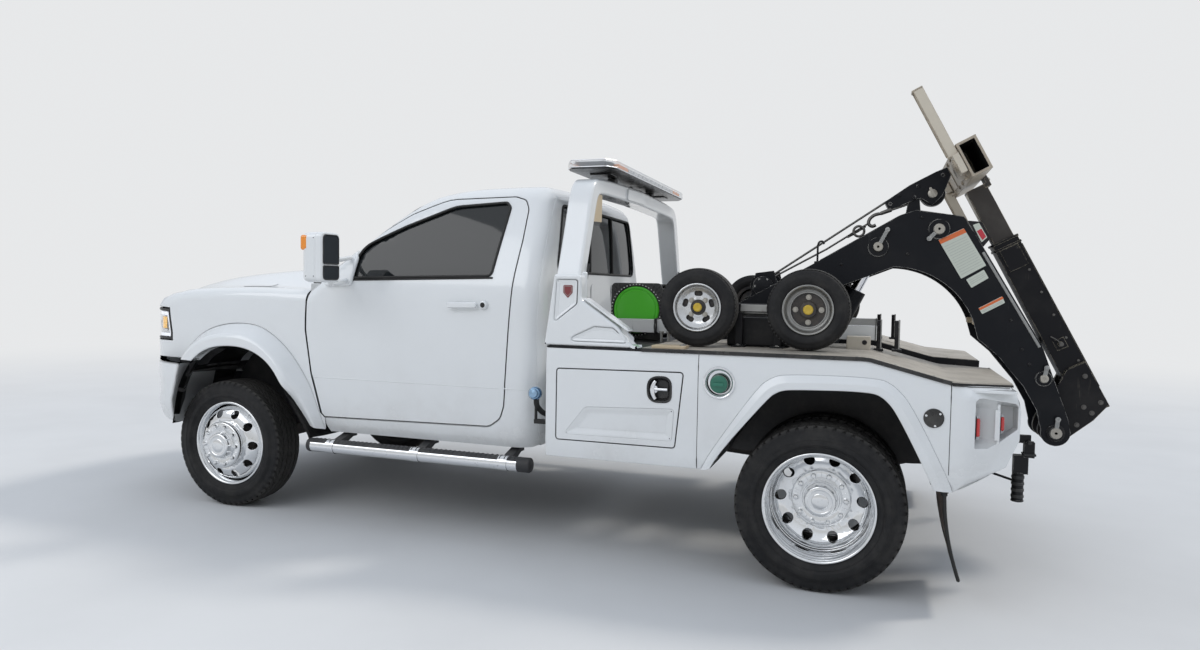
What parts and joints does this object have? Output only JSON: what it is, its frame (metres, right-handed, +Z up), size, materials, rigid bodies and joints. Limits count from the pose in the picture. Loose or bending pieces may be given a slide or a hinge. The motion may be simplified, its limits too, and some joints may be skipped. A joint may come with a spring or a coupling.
{
  "type": "tow truck with wheel lift",
  "caption": "Regular-cab tow truck with a self-loading folding wheel lift, a short lift boom, a light bar pylon and wheeled dollies stowed on its deck.",
  "frame": {"origin": "middle of the truck's bounding box, on the ground under the tyres", "axes": "+X to the rear along the length, -Y the driver's side, +Z up"},
  "size_m": [6.0951, 2.64, 2.5311],
  "materials": {
    "frame_black": "satin",
    "body_white": "gloss",
    "boom_black": "satin, worn",
    "engine_iron": "rough",
    "axle_iron": "rough",
    "exhaust_steel": "dull",
    "tyre": "dusty",
    "rim_alloy": "polished",
    "glass": "clear",
    "seat_cloth": "woven",
    "trim_black": "grained",
    "grille_chrome": "bright",
    "lamp_clear": "clear over reflector",
    "lamp_red": "clear over reflector",
    "deck_alloy": "tread plate, scuffed",
    "step_chrome": "bright",
    "flap_rubber": "dusty",
    "light_bar": "clear over black",
    "dolly_alloy": "cast and polished",
    "dolly_bar_white": "satin",
    "rod_chrome": "polished",
    "reel_green": "satin",
    "claw_steel": "worn"
  },
  "bodies": {
    "chassis": {"frame_rails": "frame_black", "engine_block": "engine_iron", "drive_shaft": "axle_iron", "exhaust": "exhaust_steel", "fuel_tank": "frame_black", "leaf_springs": "axle_iron", "front_axle": "axle_iron", "rear_axle": "axle_iron", "cab_shell": "body_white", "cab_glass": "glass", "seats": "seat_cloth", "dashboard": "trim_black", "front_fenders": "body_white", "grille": "grille_chrome", "headlamps": "lamp_clear", "front_bumper": "body_white", "step_bars": "step_chrome", "body_side_left": "body_white", "body_side_right": "body_white", "tail_lamps": "lamp_red", "deck": "deck_alloy", "mud_flaps": "flap_rubber", "pylon_arch": "body_white", "light_bar": "light_bar", "dolly_frames": "dolly_alloy", "dolly_bars": "dolly_bar_white", "boom_pedestal": "boom_black", "deck_frame": "frame_black", "hose_reel": "reel_green"},
    "knuckle_left": {"knuckle_left": "axle_iron"},
    "wheel_front_left": {"tyre_front_left": "tyre", "rim_front_left": "rim_alloy"},
    "wheel_rear_left": {"tyre_rear_left": "tyre", "rim_rear_left": "rim_alloy"},
    "cab_door_left": {"cab_door_left": "body_white", "door_glass_left": "glass"},
    "tool_door_left": {"tool_door_left": "body_white"},
    "dolly_wheel_front_left": {"dolly_wheel_front_left": "tyre"},
    "dolly_wheel_rear_left": {"dolly_wheel_rear_left": "tyre"},
    "claw_left": {"claw_left": "claw_steel"},
    "knuckle_right": {"knuckle_right": "axle_iron"},
    "wheel_front_right": {"tyre_front_right": "tyre", "rim_front_right": "rim_alloy"},
    "wheel_rear_right": {"tyre_rear_right": "tyre", "rim_rear_right": "rim_alloy"},
    "cab_door_right": {"cab_door_right": "body_white", "door_glass_right": "glass"},
    "tool_door_right": {"tool_door_right": "body_white"},
    "dolly_wheel_front_right": {"dolly_wheel_front_right": "tyre"},
    "dolly_wheel_rear_right": {"dolly_wheel_rear_right": "tyre"},
    "claw_right": {"claw_right": "claw_steel"},
    "hood": {"hood": "body_white"},
    "boom": {"boom": "boom_black", "winch": "boom_black", "sheave_head": "boom_black"},
    "lift_cylinder": {"lift_cylinder": "boom_black"},
    "lift_rod": {"lift_rod": "rod_chrome"},
    "stinger_outer": {"stinger_outer": "boom_black"},
    "stinger_slide": {"stinger_slide": "boom_black"},
    "crossbar": {"crossbar": "claw_steel"}
  },
  "joints": [
    {"name": "steer_left", "type": "hinge", "parent": "chassis", "child": "knuckle_left", "pos_m": [-2.072, -0.85, 0.405], "axis": [0, 0, 1], "range_deg": [-35, 35]},
    {"name": "spin_front_left", "type": "hinge", "parent": "knuckle_left", "child": "wheel_front_left", "pos_m": [-2.072, -0.951, 0.405], "axis": [0, 1, 0], "continuous": true},
    {"name": "spin_rear_left", "type": "hinge", "parent": "chassis", "child": "wheel_rear_left", "pos_m": [1.598, -0.947, 0.405], "axis": [0, 1, 0], "continuous": true},
    {"name": "cab_door_left_hinge", "type": "hinge", "parent": "chassis", "child": "cab_door_left", "pos_m": [-1.472, -1, 1.1], "axis": [0, 0, -1], "range_deg": [0, 65]},
    {"name": "tool_door_left_hinge", "type": "hinge", "parent": "chassis", "child": "tool_door_left", "pos_m": [0.265, -1.215, 0.84], "axis": [0, 0, -1], "range_deg": [0, 100]},
    {"name": "dolly_front_left_spin", "type": "hinge", "parent": "chassis", "child": "dolly_wheel_front_left", "pos_m": [0.954, -0.955, 1.347], "axis": [0, 1, 0], "continuous": true},
    {"name": "dolly_rear_left_spin", "type": "hinge", "parent": "chassis", "child": "dolly_wheel_rear_left", "pos_m": [1.511, -0.955, 1.347], "axis": [0, 1, 0], "continuous": true},
    {"name": "steer_right", "type": "hinge", "parent": "chassis", "child": "knuckle_right", "pos_m": [-2.072, 0.85, 0.405], "axis": [0, 0, 1], "range_deg": [-35, 35]},
    {"name": "spin_front_right", "type": "hinge", "parent": "knuckle_right", "child": "wheel_front_right", "pos_m": [-2.072, 0.951, 0.405], "axis": [0, 1, 0], "continuous": true},
    {"name": "spin_rear_right", "type": "hinge", "parent": "chassis", "child": "wheel_rear_right", "pos_m": [1.598, 0.947, 0.405], "axis": [0, 1, 0], "continuous": true},
    {"name": "cab_door_right_hinge", "type": "hinge", "parent": "chassis", "child": "cab_door_right", "pos_m": [-1.472, 1, 1.1], "axis": [0, 0, 1], "range_deg": [0, 65]},
    {"name": "tool_door_right_hinge", "type": "hinge", "parent": "chassis", "child": "tool_door_right", "pos_m": [0.265, 1.215, 0.84], "axis": [0, 0, 1], "range_deg": [0, 100]},
    {"name": "dolly_front_right_spin", "type": "hinge", "parent": "chassis", "child": "dolly_wheel_front_right", "pos_m": [0.954, 0.955, 1.347], "axis": [0, 1, 0], "continuous": true},
    {"name": "dolly_rear_right_spin", "type": "hinge", "parent": "chassis", "child": "dolly_wheel_rear_right", "pos_m": [1.511, 0.955, 1.347], "axis": [0, 1, 0], "continuous": true},
    {"name": "hood_hinge", "type": "hinge", "parent": "chassis", "child": "hood", "pos_m": [-1.52, 0, 1.572], "axis": [0, 1, 0], "range_deg": [0, 40]},
    {"name": "boom_lift", "type": "hinge", "parent": "chassis", "child": "boom", "pos_m": [1.008, 0, 1.255], "axis": [0, 1, 0], "range_deg": [0, 11.5]},
    {"name": "lift_cylinder_pivot", "type": "hinge", "parent": "chassis", "child": "lift_cylinder", "pos_m": [1.481, 0, 0.985], "axis": [0, 1, 0], "range_deg": [0, 13]},
    {"name": "lift_rod_slide", "type": "slide", "parent": "lift_cylinder", "child": "lift_rod", "axis": [0.4376, 0, 0.8992], "range_m": [-0.12, 0.005]},
    {"name": "stinger_fold", "type": "hinge", "parent": "boom", "child": "stinger_outer", "pos_m": [2.766, 0, 0.694], "axis": [0, 1, 0], "range_deg": [0, 106]},
    {"name": "stinger_extend", "type": "slide", "parent": "stinger_outer", "child": "stinger_slide", "axis": [-0.4617, 0, 0.887], "range_m": [-0.3, 0.3]},
    {"name": "crossbar_swivel", "type": "hinge", "parent": "stinger_slide", "child": "crossbar", "pos_m": [2.2846, 0, 2.15437], "axis": [-0.887, 0, -0.4617], "range_deg": [-15, 15]},
    {"name": "claw_left_swing", "type": "hinge", "parent": "crossbar", "child": "claw_left", "pos_m": [2.2846, -0.455, 2.15437], "axis": [0.887, 0, 0.4617], "range_deg": [0, 180]},
    {"name": "claw_right_swing", "type": "hinge", "parent": "crossbar", "child": "claw_right", "pos_m": [2.2846, 0.455, 2.15437], "axis": [0.887, 0, 0.4617], "range_deg": [0, 180]}
  ],
  "couplings": [
    {"joint": "steer_right", "follows": "steer_left", "ratio": 1},
    {"joint": "lift_cylinder_pivot", "follows": "boom_lift", "ratio": 1.0274},
    {"joint": "lift_rod_slide", "follows": "boom_lift", "m_per_rad": -0.54335}
  ]
}
